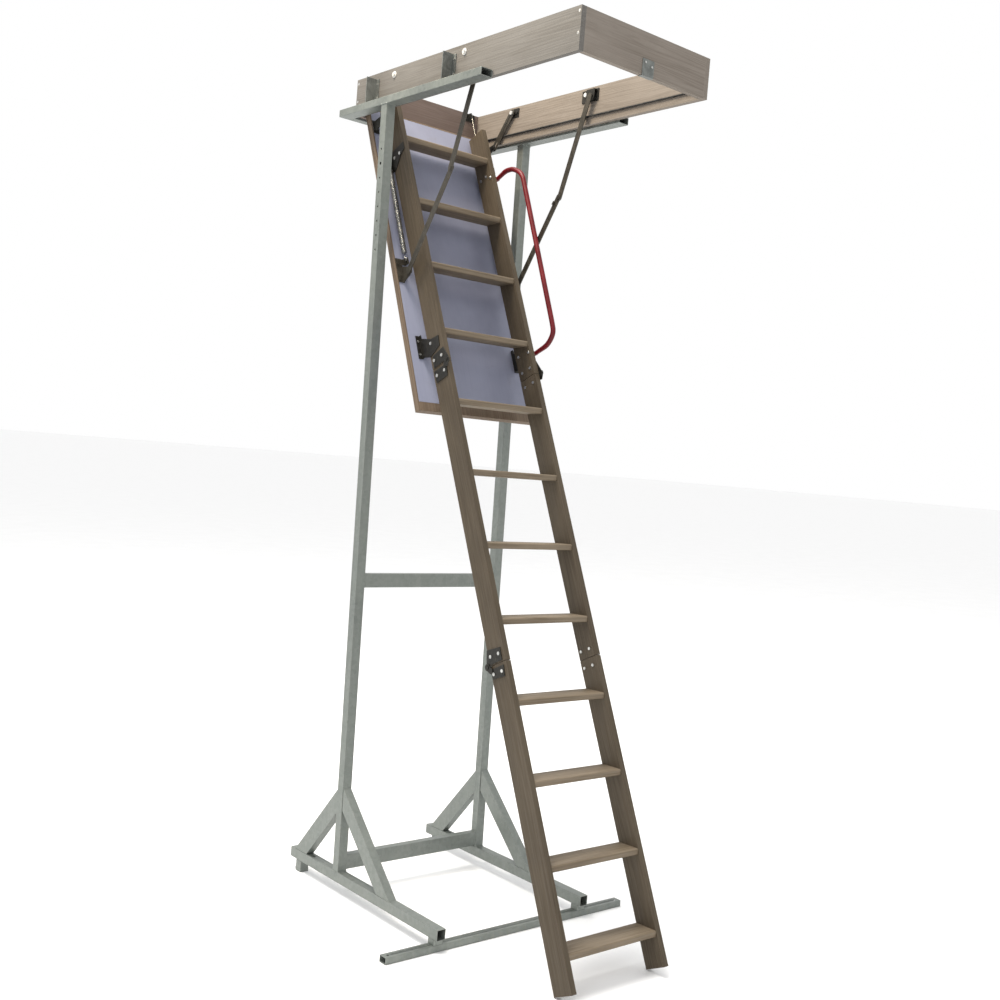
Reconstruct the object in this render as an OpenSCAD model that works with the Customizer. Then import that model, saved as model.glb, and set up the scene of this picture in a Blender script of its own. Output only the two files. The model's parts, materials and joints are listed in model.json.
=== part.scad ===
// Folding attic ladder: a ceiling hatch box with a hinged insulated door, a three-section wooden
// ladder on the door, sprung stays, and the free-standing steel stand that carries it on display.
// Floor at Z = 0, X across the ladder, the ladder's climbing side faces -Y.

/* [Hatch box] */
// Outside length of the hatch box
box_len = 1200; // [1190:1:1215]
// Outside width of the hatch box
box_w = 540; // [538:1:560]
// Height of the box boards
box_h = 127; // [125:1:160]
// Thickness of the box boards
board_t = 18; // [16:1:20]
// Height of the box underside above the floor
box_z = 2712; // [2710:1:2740]

/* [Hatch door] */
// How far the door hangs open at rest, in degrees
door_open = 66.65; // [60:0.05:70]
// Thickness of the door
door_t = 24; // [22:1:26]
// Gap between the door and the box boards
door_gap = 3; // [2:0.5:4]
// Distance of the door pivot from the outer face of the hinge board
pivot_y = 40; // [39:0.5:44]
// Height of the door pivot above the box underside
pivot_z = 4.5; // [4:0.5:8]
// Width of the wooden edging round the door
edging_w = 6; // [4:1:10]
// Width of the wooden batten across the free end of the hatch door
batten_w = 32; // [24:1:44]

/* [Ladder] */
// Distance between the stiles
inner_w = 357; // [350:1:360]
// Thickness of a stile
stile_t = 19.5; // [18:0.5:19.5]
// Depth of a stile
stile_d = 81; // [78:1:84]
// Distance between treads along the stile
pitch = 250.2; // [249:0.1:251]
// Distance between treads across a section joint
joint_pitch = 258.4; // [256:0.1:260]
// First tread, measured down the stile
first_step = 78.4; // [76:0.1:80]
// Depth of a tread, front to back
tread_d = 87; // [84:1:88]
// Thickness of a tread
tread_t = 20; // [18:1:22]
// Backward tilt of the treads, in degrees
tread_tilt = 2.15; // [0:0.05:3]
// Lean of the ladder off the door, in degrees
ladder_lean = 1.73; // [1:0.01:2]

/* [Handrail] */
// Diameter of the handrail tube
rail_d = 18; // [16:1:18]

/* [Stand] */
// Distance over the outsides of the two posts
stand_w = 627; // [625:1:660]
// Width of the post tube
post_a = 34; // [30:1:36]
// Wall thickness of all the stand's tubes
wall = 2; // [1.5:0.5:3]
// Length of the cross bar that lies on the floor
front_bar_len = 976; // [900:1:1000]

/* [Hidden] */
$fn = 48;
e = 0.05;

// Box
in_x = box_w / 2 - board_t;
corner_screw_z = [50, 112];
corner_screw_y = [-board_t / 2, -box_len + board_t / 2];
stay_bolt = [-643, 103];
stay_pivot = [-680, 90];
lever_pivot = [-240, 104];
spring_hook = [-28, 120];
spring_x = 213;
pin_d = 6;
bolt_d = 8;
tab_y = [-588, -136];
tab_screw_z = [40, 88];

// Door, with u running down the door from the pivot and v up from the pivot towards the ladder
door_half = in_x - door_gap;
door_end = box_len - board_t - door_gap - pivot_y;
door_back = -(pivot_y - board_t - 2.5);
door_face = door_t - pivot_z;
stay_u = 645;
stay_v = 66;
hook_u = 585;
hook_v = 35;
lever_u = 57;
lever_v = 95;

// Ladder, with s running down the stile and n out towards the climber
ladder_u = 54.5;
ladder_v = 114.8;
tilt = door_open - ladder_lean;
half_in = inner_w / 2;
half_out = half_in + stile_t;
dado = 6;
top_s = -48;
joint1 = [953, 6];
joint2 = [1970, -stile_d - 8];
joint_gap = 2;
foot_s = 2955;
leaf_t = 3;

// Place of the hatch in the whole
ladder_y = -pivot_y - ladder_u * cos(door_open) - ladder_v * sin(door_open);
foot_reach = foot_s * cos(tilt) - ladder_y;
arm_rear = 36;
hatch_y = (foot_reach - arm_rear) / 2;

// Stand, with heights above the floor
foot_h = 35.5;
foot_z = 40;
foot_top = foot_z + foot_h;
foot_w = 33;
foot_y = [-917, 5];
front_bar_y = [-905, -871];
front_bar_h = 22;
rear_pad_y = [-71, -37];
arm_z = box_z - 8;
arm_h = 25;
arm_y = [-800, arm_rear];
arm_x = box_w / 2 + 0.2;
post_y0 = -322;
post_y1 = -275;
mid_z = [1061, 1109];
low_z = [81, 133];

function post_front(z) = post_y0 + (post_y1 - post_y0) * (z - foot_top) / (arm_z - foot_top);
function step_s(section, i) =
    first_step + section * (3 * pitch + joint_pitch) + i * pitch;
function rest_angle(a, b) = atan2(b[1] - a[1], b[0] - a[0]);
function door_point(u, v) = [
    -pivot_y - u * cos(door_open) - v * sin(door_open),
    pivot_z - u * sin(door_open) + v * cos(door_open)
];

// Elbow of the stay at rest
elbow = [-562, -242];
stay_foot = door_point(stay_u, stay_v);
hook_point = door_point(hook_u, hook_v);
lever_pin = door_point(lever_u, lever_v);

// ---- frames and plain shapes ----
module hatch_frame() translate([0, hatch_y, box_z]) children();
module stand_frame() translate([0, hatch_y, 0]) children();
module on_door()
    hatch_frame() translate([0, -pivot_y, pivot_z]) rotate([door_open, 0, 0]) children();
module on_ladder()
    on_door() translate([0, -ladder_u, ladder_v]) rotate([-ladder_lean, 0, 0]) children();
module left() mirror([1, 0, 0]) children();
module both_sides() {
    children();
    mirror([1, 0, 0]) children();
}

// Rods along X, Y and Z between two coordinates
module x_rod(x0, x1, d)
    translate([x0, 0, 0]) rotate([0, 90, 0]) cylinder(h = x1 - x0, d = d);
module y_rod(y0, y1, d)
    translate([0, y0, 0]) rotate([-90, 0, 0]) cylinder(h = y1 - y0, d = d);
module z_rod(z0, z1, d)
    translate([0, 0, z0]) cylinder(h = z1 - z0, d = d);
module hex_nut(x0, x1, across)
    translate([x0, 0, 0]) rotate([0, 90, 0]) cylinder(h = x1 - x0, d = across / cos(30), $fn = 6);

// A flat outline in the Y-Z plane, thickened from x0 to x1
module x_plate(x0, x1)
    translate([x0, 0, 0]) rotate([90, 0, 90]) linear_extrude(x1 - x0) children();
module x_block(x0, x1, y, z)
    translate([x0, y[0], z[0]]) cube([x1 - x0, y[1] - y[0], z[1] - z[0]]);
module at(p) translate([0, p[0], p[1]]) children();
module at_sn(p) translate([0, -p[0], p[1]]) children();
function sn(points) = [for (p = points) [-p[0], p[1]]];

// Rectangular tube along Y
module y_tube(x, y, z)
    difference() {
        x_block(x[0], x[1], y, z);
        x_block(x[0] + wall, x[1] - wall, [y[0] - 1, y[1] + 1], [z[0] + wall, z[1] - wall]);
    }
// Rectangular tube along X
module x_tube(x, y, z)
    difference() {
        x_block(x[0], x[1], y, z);
        x_block(x[0] - 1, x[1] + 1, [y[0] + wall, y[1] - wall], [z[0] + wall, z[1] - wall]);
    }
module slot_outline(len, w) {
    translate([0, -w / 2]) square([len, w]);
    circle(d = w);
    translate([len, 0]) circle(d = w);
}

// ---- hatch box ----
module box_side()
    color("tan")
    hatch_frame() difference() {
        x_block(in_x, box_w / 2, [-box_len, 0], [0, box_h]);
        for (y = corner_screw_y, z = corner_screw_z)
            at([y, z]) {
                x_rod(in_x - 1, box_w / 2 + 1, 4.2);
                x_rod(box_w / 2 - 2, box_w / 2 + 1, 9.2);
            }
        for (p = [stay_bolt, lever_pivot])
            at(p) x_rod(in_x - 1, box_w / 2 + 1, bolt_d + 0.4);
        at([-pivot_y, pivot_z]) x_rod(in_x - 1, in_x + 10, pin_d + 0.04);
        for (y = tab_y, z = tab_screw_z)
            at([y - 6, z]) x_rod(in_x + 4, box_w / 2 + 1, 4.2);
    }
module box_side_right() box_side();
module box_side_left() left() box_side();

module end_board(y0)
    difference() {
        x_block(-in_x, in_x, [y0, y0 + board_t], [0, box_h]);
        both_sides() for (z = corner_screw_z)
            at([y0 + board_t / 2, z]) x_rod(in_x - 24, in_x + 1, 4.1);
    }
keeper_screws_at = [[-8, 39], [19, 30]];
module box_front_board()
    color("tan")
    hatch_frame() difference() {
        end_board(-box_len);
        for (p = keeper_screws_at)
            translate([p[0], 0, p[1]]) y_rod(-box_len - 1, -box_len + 14, 3.1);
    }
module box_hinge_board()
    color("tan")
    hatch_frame() difference() {
        end_board(-board_t);
        both_sides() for (x = anchor_screw_x)
            translate([x, 0, 106]) y_rod(-board_t - 1, -4, 4.1);
    }
module box_corner_screws()
    color("silver")
    hatch_frame() both_sides() for (y = corner_screw_y, z = corner_screw_z)
        at([y, z]) {
            x_rod(box_w / 2 - 2, box_w / 2, 9);
            x_rod(in_x - 22, box_w / 2 - 1.9, 4);
        }
module seal_strips()
    color("black")
    hatch_frame() {
        seal = [door_t + 0.6, door_t + 5];
        both_sides() x_block(in_x - 8, in_x, [-box_len + board_t + 8.1, -90], seal);
        x_block(-in_x, in_x, [-box_len + board_t, -box_len + board_t + 8], seal);
    }
module latch_keeper()
    color("dimgray")
    hatch_frame() difference() {
        union() {
            translate([-19, -box_len - 2, 6]) cube([48, 2, 43]);
            translate([-19, -box_len - 2, -2]) cube([48, 2, 8.5]);
            translate([-19, -box_len - 2, -2]) cube([48, board_t - 1, 2]);
        }
        for (p = keeper_screws_at)
            translate([p[0], 0, p[1]]) y_rod(-box_len - 3, -box_len + 1, 3.4);
    }
module keeper_screws()
    color("silver")
    hatch_frame() for (p = keeper_screws_at)
        translate([p[0], 0, p[1]]) {
            y_rod(-box_len - 4, -box_len - 2, 7);
            y_rod(-box_len - 2.1, -box_len + 12, 3);
        }

// Bolts that hold the stay anchor and carry the lever: cap outside, nut inside
module cap_bolt(nut_x) {
    x_rod(box_w / 2, box_w / 2 + 1.6, 22);
    x_rod(box_w / 2 + 1.5, box_w / 2 + 6, 13);
    x_rod(nut_x + 0.1, box_w / 2 + 0.1, bolt_d);
    hex_nut(nut_x, nut_x + 4.7, 13);
}
module side_cap_bolts()
    color("gainsboro")
    hatch_frame() both_sides() {
        at(stay_bolt) cap_bolt(in_x - 7.7);
        at(lever_pivot) cap_bolt(in_x - 16);
    }
module stay_anchors()
    color("dimgray")
    hatch_frame() both_sides() difference() {
        union() {
            x_block(in_x - 3, in_x, [-708, -624], [76, 118]);
            x_block(in_x - 15.5, in_x - 2, [-700, -660], [112, 115]);
            x_block(in_x - 15.5, in_x - 12.5, [-700, -660], [90, 115]);
            at(stay_pivot) x_rod(in_x - 15.5, in_x - 12.5, 36);
        }
        at(stay_bolt) x_rod(in_x - 4, in_x + 1, bolt_d + 0.4);
        at(stay_pivot) x_rod(in_x - 20, in_x - 10, bolt_d + 0.1);
    }
module lever_anchors()
    color("dimgray")
    hatch_frame() both_sides() difference() {
        union() {
            x_block(in_x - 3, in_x, [-272, -224], [88, 120]);
            at(lever_pivot) x_rod(in_x - 7.7, in_x - 2.5, 18);
            at([-262, 104]) x_rod(in_x - 7, in_x - 2.5, 9);
        }
        at(lever_pivot) x_rod(in_x - 9, in_x + 1, bolt_d + 0.4);
    }
anchor_screw_x = [spring_x - 12, spring_x + 14];
module spring_anchors()
    color("dimgray")
    hatch_frame() both_sides() {
        x_block(spring_x - 20, spring_x + 20, [-board_t - 3, -board_t], [98, 125]);
        x_block(spring_x - 8, spring_x - 5, [-36, -board_t - 2], [110, 127]);
        at(spring_hook) {
            x_rod(spring_x - 6, spring_x + 4.5, 5);
            x_rod(spring_x + 4.4, spring_x + 6.4, 9);
        }
        for (x = anchor_screw_x)
            translate([x, 0, 106]) {
                y_rod(-board_t - 5, -board_t - 2.9, 8);
                y_rod(-board_t - 3, -6, 4);
            }
    }
module hatch_pivot_pins()
    color("silver")
    hatch_frame() both_sides() at([-pivot_y, pivot_z]) x_rod(in_x - 17, in_x + 9.5, pin_d);

// ---- stand ----
module post_outline(inset) {
    z0 = foot_top;
    z1 = arm_z;
    lift = inset > 0 ? 1 : 0;
    polygon([
        [post_front(z0 - lift) + inset, z0 - lift], [post_front(z0 - lift) + post_a - inset, z0 - lift],
        [post_front(z1 + lift) + post_a - inset, z1 + lift], [post_front(z1 + lift) + inset, z1 + lift]
    ]);
}
post_x = [stand_w / 2 - post_a, stand_w / 2];
module stand_post()
    difference() {
        x_plate(post_x[0], post_x[1]) post_outline(0);
        x_plate(post_x[0] + wall, post_x[1] - wall) post_outline(wall);
    }
module stand_post_right()
    color("darkseagreen")
    stand_frame() stand_post();

// Row of adjusting holes in the outer wall of the left post
hole_pitch = 48.5;
holes_top = box_z - 160;
module stand_post_left()
    color("darkseagreen")
    stand_frame() left() difference() {
        stand_post();
        for (i = [0:7])
            at([post_front(holes_top - i * hole_pitch) + post_a / 2, holes_top - i * hole_pitch])
                x_rod(post_x[1] - 5, post_x[1] + 1, i == 1 ? 10 : 7);
    }
module stand_arm()
    stand_frame() y_tube([arm_x, stand_w / 2], arm_y, [arm_z, arm_z + arm_h]);
module stand_arm_right() color("darkseagreen") stand_arm();
module stand_arm_left() color("darkseagreen") left() stand_arm();
module stand_rear_bar()
    color("darkseagreen")
    stand_frame() x_tube([-arm_x, arm_x], [2, arm_rear], [arm_z, arm_z + arm_h]);
module cross_bar(z)
    x_tube([-post_x[0], post_x[0]], [post_front(z[0]) + 3, post_front(z[0]) + post_a - 2], z);
module stand_mid_bar() color("darkseagreen") stand_frame() cross_bar(mid_z);
module stand_low_bar() color("darkseagreen") stand_frame() cross_bar(low_z);
foot_x = [stand_w / 2 - foot_w, stand_w / 2];
module stand_foot()
    stand_frame() difference() {
        y_tube(foot_x, foot_y, [foot_z, foot_top]);
        translate([foot_x[0] + foot_w / 2, -134, 0]) z_rod(foot_top - 5, foot_top + 1, 9);
    }
module stand_foot_right() color("darkseagreen") stand_foot();
module stand_foot_left() color("darkseagreen") left() stand_foot();
anchor_x = front_bar_len / 2 - 18;
module stand_front_bar()
    color("darkseagreen")
    stand_frame() difference() {
        x_tube([-front_bar_len / 2, front_bar_len / 2], front_bar_y, [0, front_bar_h]);
        both_sides() translate([anchor_x, (front_bar_y[0] + front_bar_y[1]) / 2, 0])
            z_rod(-1, front_bar_h + 1, 9);
    }
module stand_spacers()
    color("darkseagreen")
    stand_frame() both_sides() {
        x_block(foot_x[0], foot_x[1], front_bar_y, [front_bar_h, foot_z]);
        x_block(foot_x[0], foot_x[1], rear_pad_y, [0, foot_z]);
    }
brace_w = 30;
// A sloping tube cut flat where it meets the post and the foot rail
module brace(y_foot, y_post, z_post) {
    x0 = stand_w / 2 - foot_w / 2 - brace_w / 2;
    slope = atan2(z_post[0] - foot_top, y_post[0] - y_foot[0]);
    difference() {
        x_plate(x0, x0 + brace_w)
            polygon([[y_foot[0], foot_top], [y_post[0], z_post[0]], [y_post[1], z_post[1]],
                [y_foot[1], foot_top]]);
        mid_y = (y_foot[0] + y_foot[1]) / 2;
        thick = abs(y_foot[1] - y_foot[0]) * abs(sin(slope));
        translate([x0 + wall, mid_y, foot_top]) rotate([slope, 0, 0])
            translate([0, -60, -thick / 2 + wall]) cube([brace_w - 2 * wall, 600, thick - 2 * wall]);
    }
}
module stand_braces()
    color("darkseagreen")
    stand_frame() both_sides() {
        brace([-640, -564], [post_front(368), post_front(293)], [368, 293]);
        brace([-24, -102], [post_front(359) + post_a, post_front(277) + post_a], [359, 277]);
    }
module stand_tabs()
    color("silver")
    stand_frame() both_sides() for (y = tab_y)
        difference() {
            union() {
                x_block(arm_x, stand_w / 2, [y, y + 3], [arm_z + arm_h, box_z + 105]);
                x_block(arm_x, arm_x + 3, [y - 12, y + 1], [arm_z + arm_h, box_z + 105]);
            }
            for (z = tab_screw_z)
                at([y - 6, box_z + z]) x_rod(arm_x - 1, arm_x + 4, 4.5);
        }
module stand_tab_screws()
    color("silver")
    hatch_frame() both_sides() for (y = tab_y, z = tab_screw_z)
        at([y - 6, z]) {
            x_rod(arm_x + 3, arm_x + 5, 8);
            x_rod(in_x + 6, arm_x + 3.1, 4);
        }

// ---- hatch door and what is fixed to it ----
module hatch_panel()
    color("lightsteelblue")
    on_door() difference() {
        x_block(-door_half + edging_w, door_half - edging_w, [-door_end + batten_w, -door_back - edging_w],
            [-pivot_z, door_face]);
        both_sides() x_rod(in_x - 18, in_x, pin_d + 0.1);
    }
module hatch_edging()
    color("peru")
    on_door() {
        thickness = [-pivot_z, door_face];
        ends = [-door_end, -door_back];
        both_sides() difference() {
            x_block(door_half - edging_w, door_half, ends, thickness);
            x_rod(in_x - 18, in_x, pin_d + 0.1);
        }
        for (y = [[ends[0], ends[0] + batten_w], [ends[1] - edging_w, ends[1]]])
            x_block(-door_half + edging_w + e, door_half - edging_w - e, y, thickness);
    }

// Bracket on the door for the lower stay and the spring's hook
ear_x = [in_x - 28, in_x - 24.5];
module stay_brackets()
    color("dimgray")
    on_door() both_sides() difference() {
        union() {
            x_block(in_x - 30, in_x - 7, [-668, -596], [door_face, door_face + 3]);
            x_block(spring_x - 8, in_x - 7, [-600, -578], [door_face, door_face + 3]);
            x_plate(ear_x[0], ear_x[1])
                polygon([[-668, door_face + 2], [-660, 60], [-654, 76], [-636, 76], [-628, 62],
                    [-606, door_face + 2]]);
            x_block(spring_x - 8, spring_x - 5, [-600, -578], [door_face + 2, hook_v + 7]);
            at([-hook_u, hook_v]) {
                x_rod(spring_x - 6, spring_x + 3.5, 5);
                x_rod(spring_x + 3.4, spring_x + 5.4, 9);
            }
            for (u = [596, 656])
                translate([in_x - 14, -u, 0]) z_rod(door_face + 2.9, door_face + 5, 9);
        }
        at([-stay_u, stay_v]) x_rod(ear_x[0] - 1, ear_x[1] + 1, bolt_d + 0.1);
    }

// Ear on the door beside the lower end of the lever
module lever_brackets()
    color("dimgray")
    on_door() both_sides() {
        x_block(in_x - 30, in_x - 9, [-84, -34], [door_face, door_face + 3]);
        x_plate(in_x - 16, in_x - 12.5)
            polygon([[-80, door_face + 2], [-66, lever_v + 6], [-48, lever_v + 6], [-40, door_face + 2]]);
        at([-lever_u, lever_v]) x_rod(in_x - 18.5, in_x - 15.5, 14);
        for (u = [44, 74])
            translate([in_x - 23, -u, 0]) z_rod(door_face + 2.9, door_face + 5, 8);
    }

// Plates that join the stiles to the door, top and bottom
butterfly_bolt = [862, -62];
top_bolts = [[140, -30], [140, -62]];
foot_screw_u = [886, 934];
module ladder_brackets()
    color("dimgray")
    both_sides() difference() {
        union() {
            on_ladder() x_plate(half_out, half_out + leaf_t)
                polygon(sn([[816, -119.9], [848, -58], [853, -16], [889, -19], [906, -78],
                    [888, -119]]));
            on_door() x_plate(half_out, half_out + leaf_t)
                polygon([[-866, door_face], [-866, door_face + 12], [-946, door_face + 12],
                    [-950, door_face]]);
            on_door() x_block(half_out, half_out + 17, [-950, -866], [door_face, door_face + 3]);
            on_ladder() x_plate(half_out, half_out + leaf_t)
                polygon(sn([[112, -2], [138, -2], [146, -24], [186, -72], [184, -98], [112, -98.6]]));
            on_door() x_block(half_out, half_out + 17, [-232, -168], [door_face, door_face + 3]);
        }
        on_ladder() at_sn(butterfly_bolt) x_rod(half_out - 1, half_out + 5, 6.4);
        on_ladder() for (p = top_bolts)
            at_sn(p) x_rod(half_out - 1, half_out + 5, 6.4);
    }
module m6_bolt() {
    x_rod(half_out + leaf_t, half_out + leaf_t + 2, 11);
    x_rod(half_in - 2.9, half_out + leaf_t + 0.1, 6);
    x_rod(half_in - 3, half_in, 10);
}
module bracket_screws()
    color("silver")
    both_sides() {
        on_ladder() at_sn(butterfly_bolt) m6_bolt();
        on_ladder() for (p = top_bolts)
            at_sn(p) m6_bolt();
        on_door() for (u = foot_screw_u)
            translate([half_out + 10.5, -u, 0]) z_rod(door_face + 3, door_face + 5, 8);
        on_door() for (u = [180, 220])
            translate([half_out + 10.5, -u, 0]) z_rod(door_face + 3, door_face + 5, 8);
    }

// ---- ladder sections ----
module tread_outline(grow) {
    r = 5;
    translate([r, -tread_t - grow]) square([tread_d - r + grow, tread_t + 2 * grow]);
    translate([-grow, -tread_t + r]) square([r + 1, tread_t - 2 * r]);
    for (z = [-r, -tread_t + r])
        translate([r, z]) circle(r = r + grow);
}
module tread_at(s) at_sn([s, 0]) rotate([-tilt - tread_tilt, 0, 0]) children();
module stile(s0, s1, section, holes)
    difference() {
        x_block(half_in, half_out, [-s1, -s0], [-stile_d, 0]);
        for (i = [0:3])
            tread_at(step_s(section, i)) x_plate(half_in - 1, half_in + dado + e) tread_outline(e);
        for (p = holes)
            at_sn(p) x_rod(half_in - 1, half_out + 1, 6.2);
    }
module treads(section)
    for (i = [0:3])
        tread_at(step_s(section, i)) x_plate(-half_in - dado, half_in + dado) tread_outline(0);

upper_leaf_bolts = [[926, -17], [926, -61]];
middle_top_bolts = [[981, -17], [981, -61]];
middle_low_bolts = [[1942, -24], [1942, -66]];
lower_leaf_bolts = [[1998, -24], [1998, -66]];
rail_bolts = [[154, -9], [868, -9]];
upper_range = [top_s, joint1[0] - joint_gap / 2];
middle_range = [joint1[0] + joint_gap / 2, joint2[0] - joint_gap / 2];
lower_range = [joint2[0] + joint_gap / 2, foot_s];

module upper_stile(more)
    on_ladder() stile(upper_range[0], upper_range[1], 0,
        concat(upper_leaf_bolts, top_bolts, [butterfly_bolt], more));
module upper_stile_right() color("burlywood") upper_stile(rail_bolts);
module upper_stile_left() color("burlywood") left() upper_stile([]);
module upper_treads() color("burlywood") on_ladder() treads(0);
module middle_stile()
    on_ladder() stile(middle_range[0], middle_range[1], 1, concat(middle_top_bolts, middle_low_bolts));
module middle_stile_right() color("burlywood") middle_stile();
module middle_stile_left() color("burlywood") left() middle_stile();
module middle_treads() color("burlywood") on_ladder() treads(1);
module lower_stile()
    on_ladder() stile(lower_range[0], lower_range[1], 2, lower_leaf_bolts);
module lower_stile_right() color("burlywood") lower_stile();
module lower_stile_left() color("burlywood") left() lower_stile();
module lower_treads() color("burlywood") on_ladder() treads(2);

// ---- handrail ----
rail_x = half_out + 4 + rail_d / 2;
rail_points = [[154, -16], [152, 44], [158, 66], [196, 110], [222, 124], [800, 107], [838, 102],
    [858, 88], [868, 66], [868, -16]];
module tube_run(a, b)
    at_sn(a) rotate([atan2(b[0] - a[0], b[1] - a[1]), 0, 0])
        cylinder(h = norm(b - a), d = rail_d);
module handrail()
    color("firebrick")
    on_ladder() translate([rail_x, 0, 0]) {
        last = len(rail_points) - 1;
        for (i = [0:last - 1])
            tube_run(rail_points[i], rail_points[i + 1]);
        for (i = [1:last - 1])
            at_sn(rail_points[i]) sphere(d = rail_d + 0.8);
        for (p = rail_bolts)
            at_sn(p) {
                x_rod(half_out - rail_x, 0, 12);
                x_rod(half_in - 2.9 - rail_x, half_out - rail_x + 0.1, 6);
                x_rod(half_in - 3 - rail_x, half_in - rail_x, 11);
            }
    }

// ---- section hinges: a fixed leaf with a stud, and a swinging leaf outside it ----
lobe_d = 22;
stud_d = 8;
swing_x = half_out + leaf_t + 0.3;
module leaf(corners, pivot, holes)
    difference() {
        union() {
            x_plate(half_out, half_out + leaf_t) {
                polygon(sn(corners));
                translate([-pivot[0], pivot[1]]) circle(d = lobe_d);
            }
            at_sn(pivot) x_rod(half_out + 1, swing_x + leaf_t + 0.4, stud_d);
            at_sn(pivot) x_rod(swing_x + leaf_t + 0.3, swing_x + leaf_t + 2.3, 13);
        }
        for (p = holes)
            at_sn(p) x_rod(half_out - 1, half_out + 6, 6.4);
    }
module swing_leaf(corners, bridge, pivot, holes)
    difference() {
        union() {
            x_plate(half_out, half_out + leaf_t) polygon(sn(corners));
            x_plate(swing_x, swing_x + leaf_t) {
                polygon(sn(bridge));
                translate([-pivot[0], pivot[1]]) circle(d = lobe_d);
            }
            x_plate(half_out + 1, swing_x + 1)
                intersection() {
                    polygon(sn(corners));
                    polygon(sn(bridge));
                }
        }
        at_sn(pivot) x_rod(swing_x - 1, swing_x + leaf_t + 1, stud_d + 0.1);
        for (p = holes)
            at_sn(p) x_rod(half_out - 1, half_out + 6, 6.4);
    }
module upper_hinge_leaves()
    color("dimgray")
    on_ladder() both_sides()
        leaf([[909, -66], [903, -2], [944, 14], [950, 4], [950, -70]], joint1, upper_leaf_bolts);
module middle_hinge_leaves()
    color("dimgray")
    on_ladder() both_sides() {
        swing_leaf([[964, -3], [1004, -8], [1004, -70], [962, -74]],
            [[944, 0], [958, 15], [976, 4], [972, -14], [962, -14]], joint1, middle_top_bolts);
        leaf([[1918, -79], [1925, -14], [1965, -14], [1967, -86], [1962, -94]], joint2,
            middle_low_bolts);
    }
module lower_hinge_leaves()
    color("dimgray")
    on_ladder() both_sides()
        swing_leaf([[1981, -80], [1981, -12], [2016, -16], [2012, -76]],
            [[1961, -83], [1975, -98], [1994, -80], [1992, -68], [1981, -68]], joint2,
            lower_leaf_bolts);
module leaf_bolts(points)
    both_sides() for (p = points)
        at_sn(p) m6_bolt();
module upper_bolts() color("silver") on_ladder() leaf_bolts(upper_leaf_bolts);
module middle_bolts()
    color("silver")
    on_ladder() leaf_bolts(concat(middle_top_bolts, middle_low_bolts));
module lower_bolts() color("silver") on_ladder() leaf_bolts(lower_leaf_bolts);

// ---- stays: two flat links on each side with an elbow between them ----
link_w = 22;
upper_link_x = [in_x - 19.5, in_x - 16];
lower_link_x = [in_x - 23.5, in_x - 20];
module link_between(a, b, x)
    at(a) rotate([rest_angle(a, b), 0, 0]) x_plate(x[0], x[1]) slot_outline(norm(b - a), link_w);
module stay_upper()
    hatch_frame() {
        link_between(stay_pivot, elbow, upper_link_x);
        at(stay_pivot) {
            x_rod(upper_link_x[1] - 0.5, in_x - 11.7, bolt_d);
            x_rod(in_x - 12.2, in_x - 9, 13);
        }
        at(elbow) x_rod(upper_link_x[1] - 0.5, upper_link_x[1] + 2.5, 14);
    }
module stay_upper_right() color("dimgray") stay_upper();
module stay_upper_left() color("dimgray") left() stay_upper();
module stay_lower()
    hatch_frame() {
        link_between(stay_foot, elbow, lower_link_x);
        at(stay_foot) {
            x_rod(ear_x[0] - 0.8, lower_link_x[0] + 0.5, bolt_d);
            x_rod(ear_x[0] - 3.3, ear_x[0] - 0.3, 13);
        }
        at(elbow) {
            x_rod(lower_link_x[0] - 2.5, lower_link_x[0] + 0.5, 14);
            rotate([rest_angle(elbow, stay_foot), 0, 0])
                x_block(lower_link_x[0] - 5, lower_link_x[0] + 0.5, [20, 34], [5, 11]);
        }
    }
module stay_lower_right() color("dimgray") stay_lower();
module stay_lower_left() color("dimgray") left() stay_lower();

// ---- springs: a coil hooked to the door, with the hook rod of the box end sliding inside it ----
coil_len = 430;
coil_start = 24;
coil_pitch = 10;
coil_r = [8, 9];
rod_len = 270;
module coil_outline() {
    turns = coil_len / coil_pitch;
    polygon(concat(
        [for (i = [0:turns - 1], k = [0, 1])
            [coil_r[1] - 0.4 * (1 - k), coil_start + (i + k / 2) * coil_pitch]],
        [[coil_r[1] - 0.4, coil_start + coil_len], [coil_r[0], coil_start + coil_len],
            [coil_r[0], coil_start]]
    ));
}
module spring_coil()
    hatch_frame() at(hook_point) rotate([rest_angle(hook_point, spring_hook) - 90, 0, 0])
        translate([spring_x, 0, 0]) {
            rotate_extrude() coil_outline();
            z_rod(coil_start - 2, coil_start + 1, 2 * coil_r[1] - 0.4);
            difference() {
                x_plate(-1.5, 1.5) {
                    circle(d = 12);
                    translate([-3, 0]) square([6, coil_start - 1]);
                }
                x_rod(-3, 3, 5.1);
            }
        }
module spring_coil_right() color("silver") spring_coil();
module spring_coil_left() color("silver") left() spring_coil();
module spring_rod()
    hatch_frame() at(spring_hook) rotate([rest_angle(spring_hook, hook_point) - 90, 0, 0])
        translate([spring_x, 0, 0]) difference() {
            union() {
                x_plate(-1.5, 1.5) circle(d = 12);
                z_rod(4, rod_len, 3);
            }
            x_rod(-3, 3, 5.1);
        }
module spring_rod_right() color("silver") spring_rod();
module spring_rod_left() color("silver") left() spring_rod();

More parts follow.
